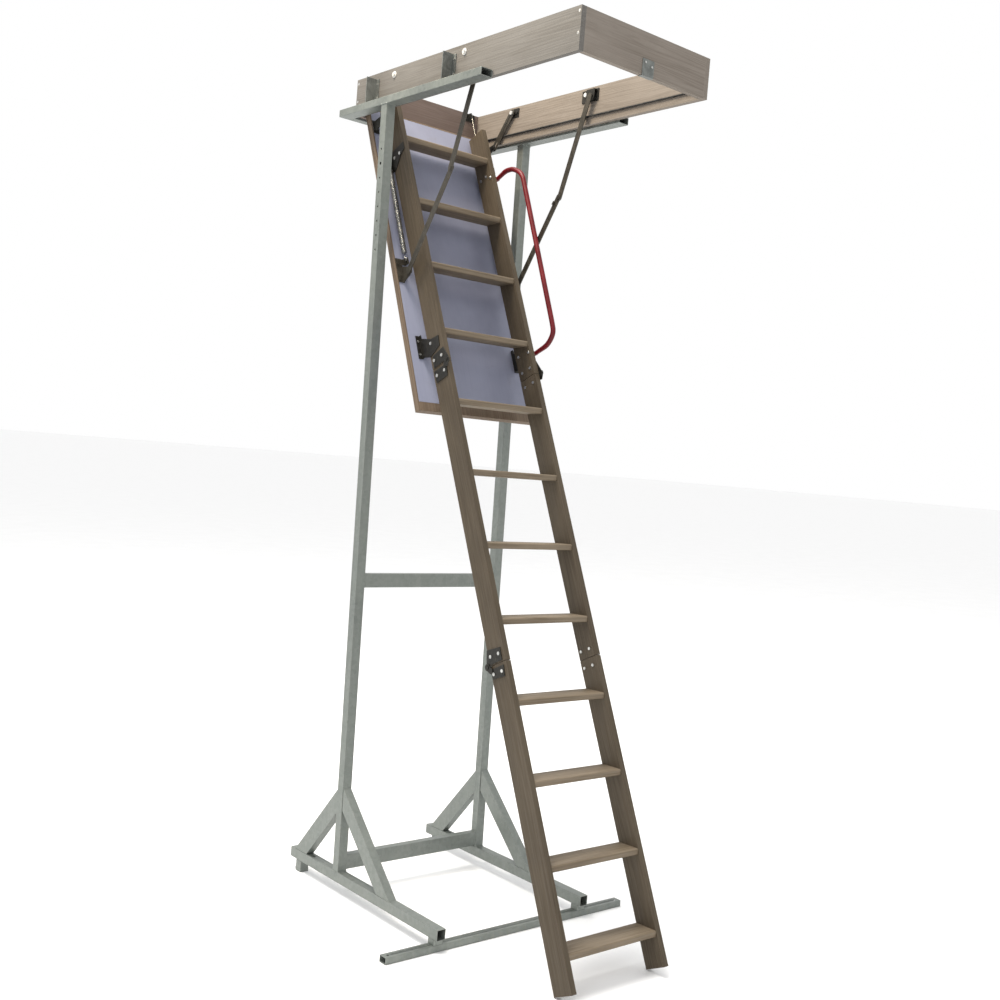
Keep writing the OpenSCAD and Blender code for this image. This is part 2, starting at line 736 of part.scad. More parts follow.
// ---- levers: flat slotted arms from the box to the ears on the door ----
lever_w = 26;
lever_x = [in_x - 11, in_x - 8];
module lever()
    hatch_frame() at(lever_pivot) rotate([rest_angle(lever_pivot, lever_pin), 0, 0])
        difference() {
            reach = norm(lever_pin - lever_pivot);
            x_plate(lever_x[0], lever_x[1]) slot_outline(reach + 2, lever_w);
            x_rod(lever_x[0] - 1, lever_x[1] + 1, bolt_d + 0.1);
            translate([0, reach - 20, 0]) x_plate(lever_x[0] - 1, lever_x[1] + 1)
                slot_outline(21, 8);
        }
module lever_right() color("dimgray") lever();
module lever_left() color("dimgray") left() lever();

box_side_left();
box_side_right();
box_front_board();
box_hinge_board();
box_corner_screws();
seal_strips();
latch_keeper();
keeper_screws();
side_cap_bolts();
stay_anchors();
lever_anchors();
spring_anchors();
hatch_pivot_pins();
stand_post_left();
stand_post_right();
stand_arm_left();
stand_arm_right();
stand_rear_bar();
stand_mid_bar();
stand_low_bar();
stand_foot_left();
stand_foot_right();
stand_front_bar();
stand_spacers();
stand_braces();
stand_tabs();
stand_tab_screws();
hatch_panel();
hatch_edging();
stay_brackets();
lever_brackets();
ladder_brackets();
bracket_screws();
upper_stile_left();
upper_stile_right();
upper_treads();
handrail();
upper_hinge_leaves();
upper_bolts();
middle_stile_left();
middle_stile_right();
middle_treads();
middle_hinge_leaves();
middle_bolts();
lower_stile_left();
lower_stile_right();
lower_treads();
lower_hinge_leaves();
lower_bolts();
stay_upper_left();
stay_upper_right();
stay_lower_left();
stay_lower_right();
spring_coil_left();
spring_coil_right();
spring_rod_left();
spring_rod_right();
lever_left();
lever_right();
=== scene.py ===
"""Looks of the folding attic ladder: materials, springs, handrail, welds, camera and light."""
import json
import math
import random

import bmesh
import bpy
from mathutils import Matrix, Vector


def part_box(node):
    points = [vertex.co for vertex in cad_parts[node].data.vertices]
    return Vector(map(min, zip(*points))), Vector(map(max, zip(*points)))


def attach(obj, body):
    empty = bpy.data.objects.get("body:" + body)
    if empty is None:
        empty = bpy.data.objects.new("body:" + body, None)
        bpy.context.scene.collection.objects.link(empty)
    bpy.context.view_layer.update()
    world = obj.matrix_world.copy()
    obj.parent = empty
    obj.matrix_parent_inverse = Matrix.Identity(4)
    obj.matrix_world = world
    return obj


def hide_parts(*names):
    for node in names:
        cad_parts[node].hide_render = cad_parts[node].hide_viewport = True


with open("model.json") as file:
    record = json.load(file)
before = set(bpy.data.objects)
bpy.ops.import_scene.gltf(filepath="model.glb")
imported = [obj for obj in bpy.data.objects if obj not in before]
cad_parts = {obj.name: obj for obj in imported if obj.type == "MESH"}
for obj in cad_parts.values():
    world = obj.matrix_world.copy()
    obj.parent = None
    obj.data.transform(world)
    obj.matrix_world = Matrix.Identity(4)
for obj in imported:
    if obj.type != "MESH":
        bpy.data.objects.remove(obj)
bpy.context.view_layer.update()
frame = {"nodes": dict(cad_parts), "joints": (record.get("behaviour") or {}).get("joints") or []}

nodes = frame["nodes"]
joints = {j["name"]: j for j in frame["joints"]}
MM = 0.001

# ---------------------------------------------------------------- directions of the design
DOOR_OPEN = math.radians(66.65)
LADDER_TILT = math.radians(64.92)
SIDES = ("left", "right")

DOWN_STILE = Vector((0, -math.cos(LADDER_TILT), -math.sin(LADDER_TILT)))
OUT_FROM_STILE = Vector((0, -math.sin(LADDER_TILT), math.cos(LADDER_TILT)))
UPPER_PIVOT = Vector(joints["fold_upper"]["pos_m"])
UPPER_PIVOT_S, UPPER_PIVOT_N = 953 * MM, 6 * MM
LADDER_ORIGIN = UPPER_PIVOT - DOWN_STILE * UPPER_PIVOT_S - OUT_FROM_STILE * UPPER_PIVOT_N


def ladder_point(x, s, n):
    """A point in metres from millimetres across, down and out from the ladder."""
    return LADDER_ORIGIN + Vector((x * MM, 0, 0)) + DOWN_STILE * s * MM + OUT_FROM_STILE * n * MM


# ---------------------------------------------------------------- material helpers
class Shader:
    """A material's node tree with short calls for adding and linking nodes."""

    def __init__(self, name):
        self.material = bpy.data.materials.new(name)
        self.material.use_nodes = True
        self.tree = self.material.node_tree
        self.surface = self.tree.nodes["Principled BSDF"]

    def add(self, kind, **values):
        node = self.tree.nodes.new(kind)
        for key, value in values.items():
            if key in node.inputs:
                node.inputs[key].default_value = value
            else:
                setattr(node, key, value)
        return node

    def link(self, source, target):
        self.tree.links.new(source, target)

    def coords(self, scale=(1, 1, 1), turn=(0, 0, 0), shift=(0, 0, 0)):
        """Object coordinates, shifted and turned, and then scaled."""
        place = self.add("ShaderNodeTexCoord")
        rotate = self.add("ShaderNodeMapping", Rotation=turn, Location=shift)
        stretch = self.add("ShaderNodeMapping", Scale=scale)
        self.link(place.outputs["Object"], rotate.inputs["Vector"])
        self.link(rotate.outputs["Vector"], stretch.inputs["Vector"])
        return stretch.outputs["Vector"]

    def noise(self, vector, scale, detail=4.0, roughness=0.55, distortion=0.0):
        node = self.add("ShaderNodeTexNoise", Scale=scale, Detail=detail, Roughness=roughness,
                        Distortion=distortion)
        self.link(vector, node.inputs["Vector"])
        return node.outputs["Fac"]

    def ramp(self, factor, stops):
        """A smooth colour band. stops is a list of (place, colour)."""
        node = self.add("ShaderNodeValToRGB")
        band = node.color_ramp
        band.interpolation = "EASE"
        band.elements[0].position, band.elements[0].color = stops[0][0], (*stops[0][1], 1)
        band.elements[1].position, band.elements[1].color = stops[-1][0], (*stops[-1][1], 1)
        for place, colour in stops[1:-1]:
            band.elements.new(place).color = (*colour, 1)
        self.link(factor, node.inputs["Fac"])
        return node.outputs["Color"]

    def grey(self, factor, low, high, low_at=0.0, high_at=1.0):
        """Maps a factor from low_at..high_at onto low..high."""
        node = self.add("ShaderNodeMapRange")
        node.inputs["From Min"].default_value = low_at
        node.inputs["From Max"].default_value = high_at
        node.inputs["To Min"].default_value = low
        node.inputs["To Max"].default_value = high
        self.link(factor, node.inputs["Value"])
        return node.outputs["Result"]

    def mix(self, factor, first, second):
        """Goes from first to second as factor rises. Each is a number, a colour or a socket."""
        node = self.add("ShaderNodeMix")
        node.data_type = "RGBA"
        for socket, value in ((0, factor), (6, first), (7, second)):
            if isinstance(value, (int, float)):
                node.inputs[socket].default_value = value
            elif isinstance(value, tuple):
                node.inputs[socket].default_value = (*value, 1)
            else:
                self.link(value, node.inputs[socket])
        return node.outputs[2]

    def maths(self, operation, first, second=0.5):
        node = self.add("ShaderNodeMath", operation=operation)
        for socket, value in enumerate((first, second)):
            if isinstance(value, (int, float)):
                node.inputs[socket].default_value = value
            else:
                self.link(value, node.inputs[socket])
        return node.outputs[0]

    def edges(self, radius):
        """1 on sharp edges, falling to 0 on flat faces."""
        bevel = self.add("ShaderNodeBevel", samples=6, Radius=radius)
        shape = self.add("ShaderNodeNewGeometry")
        dot = self.add("ShaderNodeVectorMath", operation="DOT_PRODUCT")
        self.link(bevel.outputs["Normal"], dot.inputs[0])
        self.link(shape.outputs["Normal"], dot.inputs[1])
        return self.grey(dot.outputs["Value"], 1, 0, 0.75, 0.995)

    def bump(self, height, distance, strength=1.0, under=None):
        node = self.add("ShaderNodeBump", Strength=strength, Distance=distance)
        self.link(height, node.inputs["Height"])
        if under:
            self.link(under, node.inputs["Normal"])
        return node.outputs["Normal"]

    def finish(self, colour, roughness, normal=None, metallic=0.0, **constants):
        if isinstance(colour, tuple):
            self.surface.inputs["Base Color"].default_value = (*colour, 1)
        else:
            self.link(colour, self.surface.inputs["Base Color"])
        if isinstance(roughness, (int, float)):
            self.surface.inputs["Roughness"].default_value = roughness
        else:
            self.link(roughness, self.surface.inputs["Roughness"])
        self.surface.inputs["Metallic"].default_value = metallic
        for key, value in constants.items():
            self.surface.inputs[key.replace("_", " ")].default_value = value
        if normal:
            self.link(normal, self.surface.inputs["Normal"])
        return self.material


# turns that bring the grain onto the X axis of the texture
GRAIN = {
    "across": (0, 0, 0),
    "along_box": (0, 0, -math.pi / 2),
    "down_stile": (-LADDER_TILT, 0, -math.pi / 2),
    "down_door": (-DOOR_OPEN, 0, -math.pi / 2),
}


def wood(name, grain, dark, mid, light, seed, worn, grime=0.35):
    """Sawn and sanded softwood: growth rings, fibres, pores, weathering and rubbed edges."""
    s = Shader(name)
    turn = GRAIN[grain]
    shift = (seed * 1.37, seed * 0.71, seed * 0.43)
    rings_at = s.coords((0.4, 15.0, 15.0), turn, shift)
    warp = s.noise(rings_at, 1.6, 3.0, 0.5)
    warped = s.add("ShaderNodeVectorMath", operation="MULTIPLY_ADD")
    s.link(warp, warped.inputs[0])
    warped.inputs[1].default_value = (0.3, 1.3, 1.3)
    s.link(rings_at, warped.inputs[2])
    wave = s.add("ShaderNodeTexWave", Scale=2.6, Distortion=2.2, Detail=3.0)
    wave.wave_type = "BANDS"
    wave.bands_direction = "DIAGONAL"
    s.link(warped.outputs[0], wave.inputs["Vector"])
    rings = wave.outputs["Fac"]
    fibres = s.noise(s.coords((5, 210, 210), turn, shift), 1.0, 6.0, 0.62)
    pores = s.noise(s.coords((16, 700, 700), turn, shift), 1.0, 2.0, 0.5)
    blotch = s.noise(s.coords((2.2, 7, 7), turn, shift), 1.0, 4.0, 0.6, 0.4)
    fine = s.noise(s.coords((60, 60, 60), turn, shift), 1.0, 5.0, 0.6)
    band = s.mix(0.5, mid, dark)
    body = s.ramp(rings, [(0.0, light), (0.4, mid), (0.8, mid), (1.0, dark)])
    body = s.mix(0.45, body, band)
    body = s.mix(s.grey(fibres, 0.0, 0.55, 0.35, 0.75), body, dark)
    body = s.mix(s.grey(blotch, 0.0, 0.7, 0.4, 0.72), body, light)
    body = s.mix(s.grey(pores, 0.0, 0.35, 0.6, 0.8), body, tuple(0.4 * c for c in dark))
    soil = s.noise(s.coords((3.1, 3.1, 3.1), turn, shift), 1.0, 5.0, 0.65, 0.6)
    body = s.mix(s.grey(soil, 0.0, grime, 0.5, 0.78), body, tuple(0.55 * c for c in mid))
    rubbed = s.maths("MULTIPLY", s.edges(0.0025), s.grey(fine, 0.25, 1.0, 0.35, 0.62))
    body = s.mix(s.maths("MULTIPLY", rubbed, worn), body, tuple(min(1, 1.35 * c) for c in light))
    rough = s.grey(fibres, 0.52, 0.78, 0.3, 0.7)
    normal = s.bump(fibres, 0.0005, 0.55)
    normal = s.bump(rings, 0.0004, 0.3, normal)
    return s.finish(body, rough, normal, Specular_IOR_Level=0.35)


def galvanised(name, seed):
    """Zinc-coated tube with a pale green-grey bloom, spangle, scuffs and dull streaks."""
    s = Shader(name)
    shift = (seed * 0.9, seed * 1.3, seed * 0.4)
    spangle = s.add("ShaderNodeTexVoronoi", Scale=90.0)
    s.link(s.coords((1, 1, 1), shift=shift), spangle.inputs["Vector"])
    cloud = s.noise(s.coords((6, 6, 2.4), shift=shift), 1.0, 6.0, 0.62, 0.5)
    streak = s.noise(s.coords((55, 55, 2.2), shift=shift), 1.0, 4.0, 0.6)
    speck = s.noise(s.coords((170, 170, 170), shift=shift), 1.0, 3.0, 0.5)
    base = s.ramp(cloud, [(0.25, (0.125, 0.14, 0.13)), (0.5, (0.168, 0.186, 0.17)),
                          (0.8, (0.218, 0.236, 0.215))])
    base = s.mix(s.grey(streak, 0.0, 0.4, 0.45, 0.8), base, (0.235, 0.245, 0.225))
    tone = s.add("ShaderNodeSeparateColor")
    s.link(spangle.outputs["Color"], tone.inputs["Color"])
    base = s.mix(s.grey(tone.outputs[0], 0.0, 0.16), base, (0.34, 0.355, 0.335))
    base = s.mix(s.grey(speck, 0.0, 0.5, 0.66, 0.8), base, (0.075, 0.072, 0.055))
    base = s.mix(s.maths("MULTIPLY", s.edges(0.002), 0.45), base, (0.42, 0.43, 0.4))
    rough = s.grey(cloud, 0.34, 0.58, 0.3, 0.7)
    normal = s.bump(tone.outputs[0], 0.0003, 0.12)
    normal = s.bump(cloud, 0.002, 0.15, normal)
    return s.finish(base, rough, normal, 0.45, Specular_IOR_Level=0.5)


def steel(name, colour, bright, rough, metallic, wear=0.6):
    """Plated or blackened hardware with rubbed edges, fine scratches and a little dust."""
    s = Shader(name)
    cloud = s.noise(s.coords((40, 40, 40)), 1.0, 5.0, 0.6, 0.4)
    fine = s.noise(s.coords((400, 400, 60)), 1.0, 3.0, 0.6)
    base = s.ramp(cloud, [(0.3, tuple(0.72 * c for c in colour)), (0.7, tuple(1.2 * c for c in colour))])
    base = s.mix(s.grey(fine, 0.0, 0.45, 0.56, 0.8), base, bright)
    base = s.mix(s.maths("MULTIPLY", s.edges(0.0012), wear), base, bright)
    roughness = s.grey(cloud, rough - 0.1, rough + 0.14, 0.3, 0.7)
    return s.finish(base, roughness, s.bump(fine, 0.0002, 0.35), metallic)


def painted(name, colour, worn_to):
    """Dipped gloss paint over tube, with orange peel and a few rubbed places."""
    s = Shader(name)
    peel = s.noise(s.coords((260, 260, 260)), 1.0, 2.0, 0.5)
    cloud = s.noise(s.coords((14, 14, 14)), 1.0, 5.0, 0.6)
    chips = s.noise(s.coords((75, 75, 75)), 1.0, 5.0, 0.7)
    base = s.ramp(cloud, [(0.3, tuple(0.75 * c for c in colour)), (0.7, tuple(1.15 * c for c in colour))])
    base = s.mix(s.grey(chips, 0.0, 0.8, 0.7, 0.74), base, worn_to)
    rough = s.grey(cloud, 0.34, 0.5, 0.3, 0.7)
    return s.finish(base, rough, s.bump(peel, 0.0002, 0.25), 0.0, Specular_IOR_Level=0.3)


def white_board(name):
    """Faced board: cool white, faint brush lines down the door, slight yellowing and finger marks."""
    s = Shader(name)
    turn = GRAIN["down_door"]
    brush = s.noise(s.coords((7, 330, 330), turn), 1.0, 4.0, 0.6)
    cloud = s.noise(s.coords((2.6, 2.6, 2.6), turn), 1.0, 5.0, 0.6, 0.5)
    mark = s.noise(s.coords((11, 11, 11), turn), 1.0, 6.0, 0.7, 0.8)
    base = s.ramp(cloud, [(0.3, (0.205, 0.215, 0.29)), (0.7, (0.255, 0.27, 0.36))])
    base = s.mix(s.grey(brush, 0.0, 0.35, 0.5, 0.85), base, (0.175, 0.185, 0.25))
    base = s.mix(s.grey(mark, 0.0, 0.3, 0.6, 0.78), base, (0.19, 0.175, 0.17))
    base = s.mix(s.maths("MULTIPLY", s.edges(0.002), 0.4), base, (0.4, 0.4, 0.42))
    rough = s.grey(mark, 0.42, 0.62, 0.4, 0.7)
    return s.finish(base, rough, s.bump(brush, 0.00025, 0.35))


def rubber(name):
    """Black foam seal with an open, dusty surface."""
    s = Shader(name)
    cell = s.add("ShaderNodeTexVoronoi", Scale=900.0)
    s.link(s.coords(), cell.inputs["Vector"])
    dust = s.noise(s.coords((30, 30, 30)), 1.0, 5.0, 0.7)
    base = s.ramp(dust, [(0.4, (0.012, 0.012, 0.012)), (0.75, (0.06, 0.056, 0.05))])
    return s.finish(base, s.grey(dust, 0.7, 0.95), s.bump(cell.outputs["Distance"], 0.0004, 0.6))


# ---------------------------------------------------------------- mesh helpers
SAME_POINT = 0.01 * MM
SHARP_ANGLE = math.radians(32)


def soften(obj, width, segments=2):
    """Joins the imported corners, rounds the sharp edges a little and shades smooth."""
    mesh = obj.data
    for name in ("custom_normal", "sharp_edge", "sharp_face"):
        if name in mesh.attributes:
            mesh.attributes.remove(mesh.attributes[name])
    mesh.shade_smooth()
    join = obj.modifiers.new("join", "WELD")
    join.merge_threshold = SAME_POINT
    bevel = obj.modifiers.new("edge", "BEVEL")
    bevel.width = width
    bevel.segments = segments
    bevel.limit_method = "ANGLE"
    bevel.angle_limit = SHARP_ANGLE
    bevel.harden_normals = True
    bevel.use_clamp_overlap = True
    bevel.miter_outer = "MITER_ARC"


def dress(obj, material):
    obj.data.materials.clear()
    obj.data.materials.append(material)


def mesh_piece(name, build, material, body):
    """A piece that rides on body, with its mesh made by build(bm)."""
    mesh = bpy.data.meshes.new(name)
    bm = bmesh.new()
    build(bm)
    bmesh.ops.recalc_face_normals(bm, faces=bm.faces)
    bm.to_mesh(mesh)
    bm.free()
    mesh.shade_smooth()
    obj = bpy.data.objects.new(name, mesh)
    bpy.context.scene.collection.objects.link(obj)
    dress(obj, material)
    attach(obj, body)
    return obj


def skin(bm, rings, sides):
    """Walls between neighbouring rings of points, and a flat cap on the first and the last."""
    for low, high in zip(rings, rings[1:]):
        for k in range(sides):
            bm.faces.new((low[k], low[(k + 1) % sides], high[(k + 1) % sides], high[k]))
    bm.faces.new(list(reversed(rings[0])))
    bm.faces.new(rings[-1])


def sweep(bm, path, radius, sides, wobble=None):
    """A round tube along a list of points, with closed ends.

    radius is a number, or a function of the place along the tube from 0 to 1. wobble gives a small
    change of radius for each point.
    """
    rings = []
    tangent_was = None
    normal = None
    for i, point in enumerate(path):
        ahead = path[min(i + 1, len(path) - 1)] - path[max(i - 1, 0)]
        tangent = ahead.normalized()
        if normal is None:
            side = Vector((1, 0, 0)) if abs(tangent.x) < 0.9 else Vector((0, 0, 1))
            normal = tangent.cross(side).normalized()
        else:
            normal = (tangent_was.rotation_difference(tangent) @ normal).normalized()
        tangent_was = tangent
        other = tangent.cross(normal)
        r = radius(i / (len(path) - 1)) if callable(radius) else radius
        ring = []
        for k in range(sides):
            a = 2 * math.pi * k / sides
            spread = r * (1 + (wobble() if wobble else 0))
            ring.append(bm.verts.new(point + (normal * math.cos(a) + other * math.sin(a)) * spread))
        rings.append(ring)
    skin(bm, rings, sides)


def lathe_x(bm, centre, profile, sides=28):
    """A turned shape about the X axis through centre. profile is a list of (x, radius)."""
    rings = []
    for x, radius in profile:
        ring = []
        for k in range(sides):
            a = 2 * math.pi * k / sides
            offset = Vector((x, radius * math.cos(a), radius * math.sin(a)))
            ring.append(bm.verts.new(centre + offset))
        rings.append(ring)
    skin(bm, rings, sides)


def rounded_path(points, radius, steps):
    """The polyline with its corners turned into curves of about the given radius."""
    path = [points[0]]
    for before, here, after in zip(points, points[1:], points[2:]):
        back = (before - here).normalized()
        on = (after - here).normalized()
        turn = math.pi - back.angle(on)
        cut = min(radius * math.tan(turn / 2), 0.48 * (before - here).length, 0.48 * (after - here).length)
        start, finish = here + back * cut, here + on * cut
        for k in range(steps + 1):
            t = k / steps
            path.append(start * (1 - t) ** 2 + here * 2 * t * (1 - t) + finish * t ** 2)
    path.append(points[-1])
    return path


# ---------------------------------------------------------------- materials
BOX_DARK, BOX_MID, BOX_LIGHT = (0.16, 0.133, 0.108), (0.222, 0.19, 0.158), (0.265, 0.23, 0.196)
USUAL_TONE = (0.9, 0.9, 0.9)
# Painted shade: box_side_left and box_hinge_board get darker tones than the other box boards, standing in
# for the shade that falls on them
BOX_SHADE_TONE = {"box_side_left": (0.62, 0.68, 0.74), "box_hinge_board": (0.66, 0.58, 0.6)}
LADDER_DARK, LADDER_MID, LADDER_LIGHT = (0.044, 0.031, 0.018), (0.064, 0.048, 0.029), (0.088, 0.068, 0.044)
# The tread wood is painted lighter than the stile wood: painted light from above on the treads' upward
# faces
TREAD_LIT_DARK, TREAD_LIT_MID, TREAD_LIT_LIGHT = (0.10, 0.075, 0.047), (0.155, 0.12, 0.08), (0.215, 0.172, 0.122)
EDGING_DARK, EDGING_MID, EDGING_LIGHT = (0.08, 0.055, 0.036), (0.14, 0.10, 0.066), (0.19, 0.14, 0.097)

DARK_STEEL = steel("blackened_steel", (0.016, 0.015, 0.012), (0.12, 0.115, 0.10), 0.45, 0.5)
STAY_STEEL = steel("stay_steel", (0.048, 0.042, 0.032), (0.2, 0.19, 0.165), 0.42, 0.5)
BRIGHT_STEEL = steel("bright_steel", (0.55, 0.55, 0.53), (0.85, 0.85, 0.83), 0.3, 0.9, 0.4)
SPRING_STEEL = steel("spring_steel", (0.34, 0.335, 0.31), (0.8, 0.8, 0.77), 0.28, 0.95, 0.5)
CAP_STEEL = steel("cap_steel", (0.72, 0.71, 0.68), (0.9, 0.9, 0.88), 0.35, 0.4, 0.4)
RED = painted("red_paint", (0.115, 0.003, 0.006), (0.07, 0.012, 0.01))
PANEL = white_board("white_panel")
RUBBER = rubber("seal_rubber")
TAB_STEEL = steel("tab_steel", (0.16, 0.17, 0.16), (0.34, 0.35, 0.33), 0.42, 0.5)

WOOD_NODES = {
    "box_side_left": "along_box", "box_side_right": "along_box",
    "box_front_board": "across", "box_hinge_board": "across",
    "upper_stile_left": "down_stile", "upper_stile_right": "down_stile",
    "middle_stile_left": "down_stile", "middle_stile_right": "down_stile",
    "lower_stile_left": "down_stile", "lower_stile_right": "down_stile",
    "upper_treads": "across", "middle_treads": "across", "lower_treads": "across",
    "hatch_edging": "down_door",
}


def wood_for(node, grain, seed):
    """The wood of one node, with its own seed so that no two boards share a pattern."""
    if node.startswith("box_"):
        # the tone table darkens some box boards as painted shade
        tone = BOX_SHADE_TONE.get(node, USUAL_TONE)
        shades = [tuple(c * t for c, t in zip(shade, tone)) for shade in (BOX_DARK, BOX_MID, BOX_LIGHT)]
        return wood("wood_" + node, grain, *shades, seed, 0.35, 0.25)
    if node == "hatch_edging":
        return wood("wood_" + node, grain, EDGING_DARK, EDGING_MID, EDGING_LIGHT, seed, 0.3)
    if "tread" in node:
        # treads get the lighter wood, which is painted light on their tops
        return wood("wood_" + node, grain, TREAD_LIT_DARK, TREAD_LIT_MID, TREAD_LIT_LIGHT, seed, 0.75)
    return wood("wood_" + node, grain, LADDER_DARK, LADDER_MID, LADDER_LIGHT, seed, 0.6)


BOARD_EDGE, TREAD_EDGE, TUBE_EDGE, METAL_EDGE = 0.0018, 0.0012, 0.0016, 0.0005
PANEL_EDGE, SEAL_EDGE = 0.0006, 0.0015
for seed, (node, grain) in enumerate(WOOD_NODES.items()):
    dress(nodes[node], wood_for(node, grain, seed + 1))
    soften(nodes[node], TREAD_EDGE if "tread" in node else BOARD_EDGE, 3)

GALVANISED = {}
for node in nodes:
    if node.startswith("stand_") and node not in ("stand_tabs", "stand_tab_screws"):
        GALVANISED[node] = galvanised("galvanised_" + node, len(GALVANISED) + 1)
        dress(nodes[node], GALVANISED[node])
        soften(nodes[node], TUBE_EDGE, 3)

METAL_NODES = {
    "box_corner_screws": BRIGHT_STEEL, "keeper_screws": BRIGHT_STEEL, "side_cap_bolts": CAP_STEEL,
    "hatch_pivot_pins": BRIGHT_STEEL, "bracket_screws": BRIGHT_STEEL, "upper_bolts": BRIGHT_STEEL,
    "middle_bolts": BRIGHT_STEEL, "lower_bolts": BRIGHT_STEEL, "stand_tab_screws": BRIGHT_STEEL,
    "latch_keeper": TAB_STEEL, "stand_tabs": TAB_STEEL,
    "stay_anchors": DARK_STEEL, "lever_anchors": DARK_STEEL, "spring_anchors": DARK_STEEL,
    "stay_brackets": STAY_STEEL, "lever_brackets": DARK_STEEL, "ladder_brackets": DARK_STEEL,
    "upper_hinge_leaves": DARK_STEEL, "middle_hinge_leaves": DARK_STEEL, "lower_hinge_leaves": DARK_STEEL,
}
for side in SIDES:
    for node in ("stay_upper_", "stay_lower_", "lever_"):
        METAL_NODES[node + side] = STAY_STEEL
    METAL_NODES["spring_rod_" + side] = SPRING_STEEL
for node, material in METAL_NODES.items():
    dress(nodes[node], material)
    soften(nodes[node], METAL_EDGE)

dress(nodes["hatch_panel"], PANEL)
soften(nodes["hatch_panel"], PANEL_EDGE)
dress(nodes["seal_strips"], RUBBER)
soften(nodes["seal_strips"], SEAL_EDGE, 3)


# ---------------------------------------------------------------- springs
COIL_START, COIL_LENGTH = 24 * MM, 430 * MM
COIL_RADIUS, WIRE_RADIUS = 7.8 * MM, 1.2 * MM
COIL_TURNS, POINTS_PER_TURN = 118, 14
HOOK_RADIUS, HOOK_STEPS = 4.6 * MM, 14


def spring_path(foot, along):
    """A hook round the door's stud, a neck, and the close coil, which is open at its far end."""
    across = Vector((1, 0, 0))
    third = along.cross(across)
    path = []
    for k in range(HOOK_STEPS + 1):
        a = math.radians(-60 - 300 * (HOOK_STEPS - k) / HOOK_STEPS)
        path.append(foot + HOOK_RADIUS * (along * math.cos(a) + third * math.sin(a)))
    path.append(foot + along * 0.5 * COIL_START)
    total = COIL_TURNS * POINTS_PER_TURN
    for k in range(total + 1):
        turn = k / POINTS_PER_TURN
        a = 2 * math.pi * turn
        radius = COIL_RADIUS * min(1.0, 0.25 + turn)
        out = across * math.cos(a) + third * math.sin(a)
        path.append(foot + along * (COIL_START + COIL_LENGTH * k / total) + out * radius)
    return path


for side in SIDES:
    foot = Vector(joints["spring_foot_" + side]["pos_m"])
    eye = Vector(joints["spring_eye_" + side]["pos_m"])
    along = (eye - foot).normalized()
    coil = mesh_piece("spring_wire_" + side,
                      lambda bm: sweep(bm, spring_path(foot, along), WIRE_RADIUS, 8),
                      SPRING_STEEL, "spring_" + side)
    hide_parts("spring_coil_" + side)


# ---------------------------------------------------------------- handrail
# RAIL_X, the points, the bolts and the stile faces are bare millimetres, for ladder_point
RAIL_X, RAIL_RADIUS, RAIL_BEND, RAIL_STEP = 211, 9 * MM, 75 * MM, 12 * MM
RAIL_POINTS = [(154, -16), (152, 46), (168, 84), (212, 125), (800, 107), (842, 104), (869, 64), (868, -16)]
RAIL_BOLTS = ((154, -9), (868, -9))
STILE_FACE, STILE_INSIDE = 198, 178.5


def rail_radius(t):
    """The tube narrows a little where its ends are pressed flat."""
    end = min(t, 1 - t)
    return RAIL_RADIUS * (0.82 + 0.18 * min(1.0, end / 0.04))


def bolt_profile(*steps):
    return [(x * MM, r * MM) for x, r in steps]


def build_rail(bm):
    """The bent tube, cut into short even lengths, with a collar at each bolt."""
    corners = [ladder_point(RAIL_X, s, n) for s, n in RAIL_POINTS]
    path = rounded_path(corners, RAIL_BEND, 12)
    even = [path[0]]
    for point in path[1:]:
        gap = (point - even[-1]).length
        pieces = max(1, int(gap / RAIL_STEP))
        start = even[-1]
        even.extend(start.lerp(point, (k + 1) / pieces) for k in range(pieces))
    sweep(bm, even, rail_radius, 20)
    for s, n in RAIL_BOLTS:
        centre = ladder_point(0, s, n)
        lathe_x(bm, centre, bolt_profile((STILE_FACE, 6.5), (STILE_FACE + 1, 7.2),
                                         (RAIL_X - 5, 7.2), (RAIL_X, 6)))


rail = mesh_piece("handrail_tube", build_rail, RED, "hatch")
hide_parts("handrail")


def build_rail_bolts(bm):
    """A domed head outside the tube and a nut inside the stile at each end."""
    for s, n in RAIL_BOLTS:
        centre = ladder_point(0, s, n)
        lathe_x(bm, centre, bolt_profile((RAIL_X + 6, 6.2), (RAIL_X + 7.6, 6.2),
                                         (RAIL_X + 8.6, 5.0), (RAIL_X + 9, 2.5)))
        lathe_x(bm, centre, bolt_profile((STILE_INSIDE - 3, 2.2), (STILE_INSIDE - 2.6, 4.6),
                                         (STILE_INSIDE - 1.2, 5.5), (STILE_INSIDE, 5.5)))


mesh_piece("handrail_bolts", build_rail_bolts, BRIGHT_STEEL, "hatch")


# ---------------------------------------------------------------- welds on the stand
random.seed(7)
POST_DEPTH = 34 * MM
BEAD_STEP, BEAD_JITTER = 1.6 * MM, 0.35


def weld(name, corners, node, radius=2.6 * MM):
    """A rippled bead along a run of corners."""
    path = []
    for a, b in zip(corners, corners[1:]):
        count = max(2, int((b - a).length / BEAD_STEP))
        path.extend(a.lerp(b, k / count) for k in range(count))
    path.append(corners[-1])
    jitter = [p + Vector([random.uniform(-BEAD_JITTER, BEAD_JITTER) * MM for _ in range(3)]) for p in path]

    def ripple(t):
        return radius * (0.86 + 0.16 * math.sin(t * len(path) * 1.1))

    mesh_piece(name, lambda bm: sweep(bm, jitter, ripple, 8, lambda: random.uniform(-0.07, 0.07)),
               GALVANISED[node], "frame")


def loop_xy(low, high, z):
    """The closed level outline between two corners, at height z."""
    return [Vector((low.x, low.y, z)), Vector((high.x, low.y, z)), Vector((high.x, high.y, z)),
            Vector((low.x, high.y, z)), Vector((low.x, low.y, z))]


def loop_yz(low, high, x):
    """The closed upright outline between two corners, at x."""
    return [Vector((x, low.y, low.z)), Vector((x, low.y, high.z)), Vector((x, high.y, high.z)),
            Vector((x, high.y, low.z)), Vector((x, low.y, low.z))]


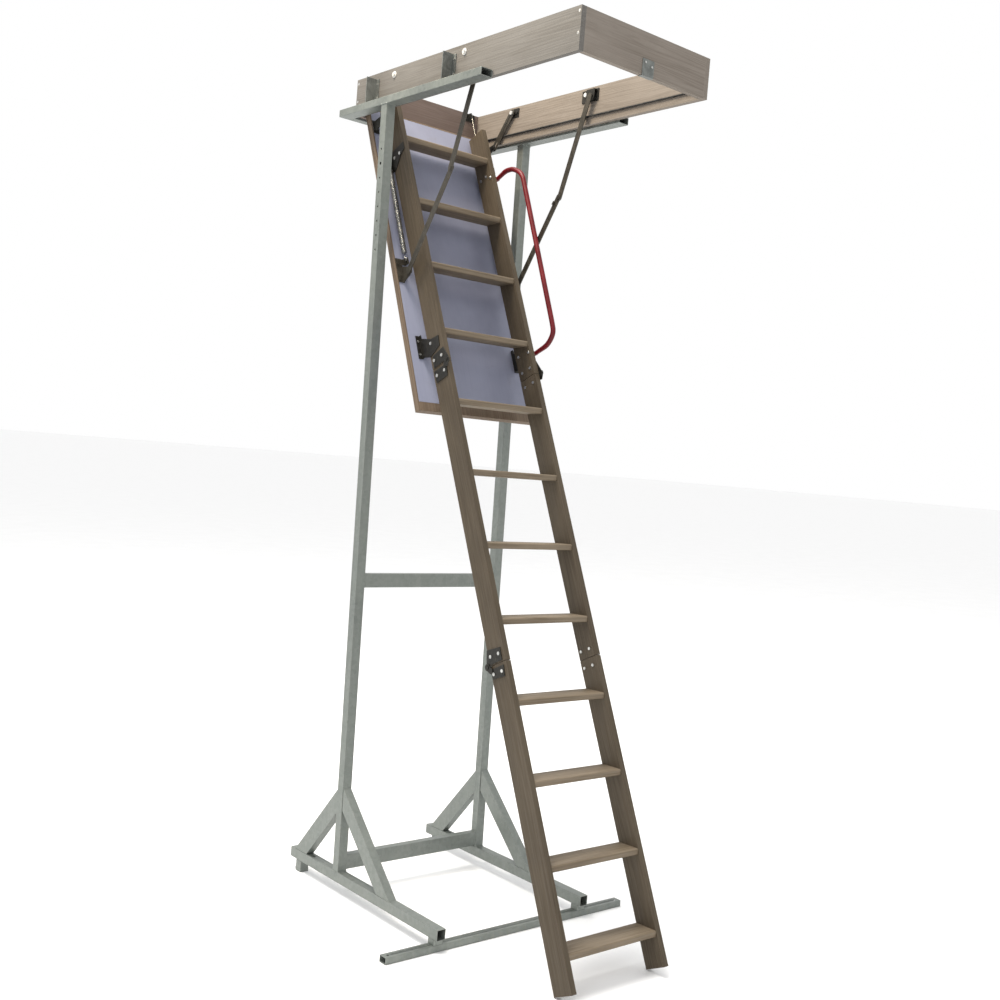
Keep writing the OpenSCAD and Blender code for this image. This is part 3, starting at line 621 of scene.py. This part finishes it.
for side in SIDES:
    post_low, post_high = (Vector(c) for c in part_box("stand_post_" + side))
    lean = Vector((0, post_high.y - post_low.y - POST_DEPTH, 0))
    weld("weld_post_foot_" + side, loop_xy(post_low, post_high - lean, post_low.z), "stand_post_" + side)
    weld("weld_post_arm_" + side, loop_xy(post_low + lean, post_high, post_high.z), "stand_post_" + side)
    for bar in ("mid", "low"):
        low, high = (Vector(c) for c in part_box(f"stand_{bar}_bar"))
        x = post_high.x if side == "left" else post_low.x
        weld(f"weld_{bar}_bar_{side}", loop_yz(low, high, x), "stand_post_" + side, 2.2 * MM)

# ---------------------------------------------------------------- floor, light and camera
FLOOR_SIZE, FLOOR_DROP = 400, 0.5 * MM
bpy.ops.mesh.primitive_grid_add(x_subdivisions=8, y_subdivisions=8, size=FLOOR_SIZE,
                                location=(0, 0, -FLOOR_DROP))
floor = bpy.context.object
floor.name = "studio_floor"
ground = Shader("studio_floor")
speckle = ground.noise(ground.coords((3, 3, 3)), 1.0, 4.0, 0.5)
pale = ground.ramp(speckle, [(0.3, (0.93, 0.93, 0.93)), (0.7, (0.95, 0.95, 0.95))])
dress(floor, ground.finish(pale, 0.75))

world = bpy.data.worlds.new("studio")
bpy.context.scene.world = world
world.use_nodes = True
world.node_tree.nodes["Background"].inputs["Color"].default_value = (1.0, 1.0, 1.0, 1)
world.node_tree.nodes["Background"].inputs["Strength"].default_value = 1.0


def area_light(name, place, target, size, power, colour):
    """A round soft light at place, facing target."""
    data = bpy.data.lights.new(name, "AREA")
    data.shape = "DISK"
    data.size = size
    data.energy = power
    data.color = colour
    lamp = bpy.data.objects.new(name, data)
    lamp.location = place
    lamp.rotation_euler = (Vector(target) - Vector(place)).to_track_quat("-Z", "Y").to_euler()
    bpy.context.scene.collection.objects.link(lamp)


area_light("sky_key", (-1.8, 1.0, 7.8), (0, 0, 1.8), 4.0, 560, (1.0, 0.98, 0.94))
area_light("front_fill", (-6.0, -3.0, 3.5), (0, 0, 1.6), 4.0, 50, (0.95, 0.97, 1.0))
area_light("warm_glow", (-0.75, 0.35, 3.75), (0.3, -0.15, 2.75), 0.6, 26, (1.0, 0.84, 0.62))

camera_data = bpy.data.cameras.new("camera")
camera_data.sensor_width = 36
camera_data.lens = 43.81
camera_data.shift_x = -0.0887
camera_data.shift_y = 0.0247
camera_data.clip_end = 900
camera = bpy.data.objects.new("camera", camera_data)
camera.location = (-2.5317, -3.1930, 1.5342)
camera.rotation_euler = [math.radians(a) for a in (87.327, -4.710, -42.165)]
bpy.context.scene.collection.objects.link(camera)
bpy.context.scene.camera = camera
bpy.context.scene.view_settings.view_transform = "Standard"
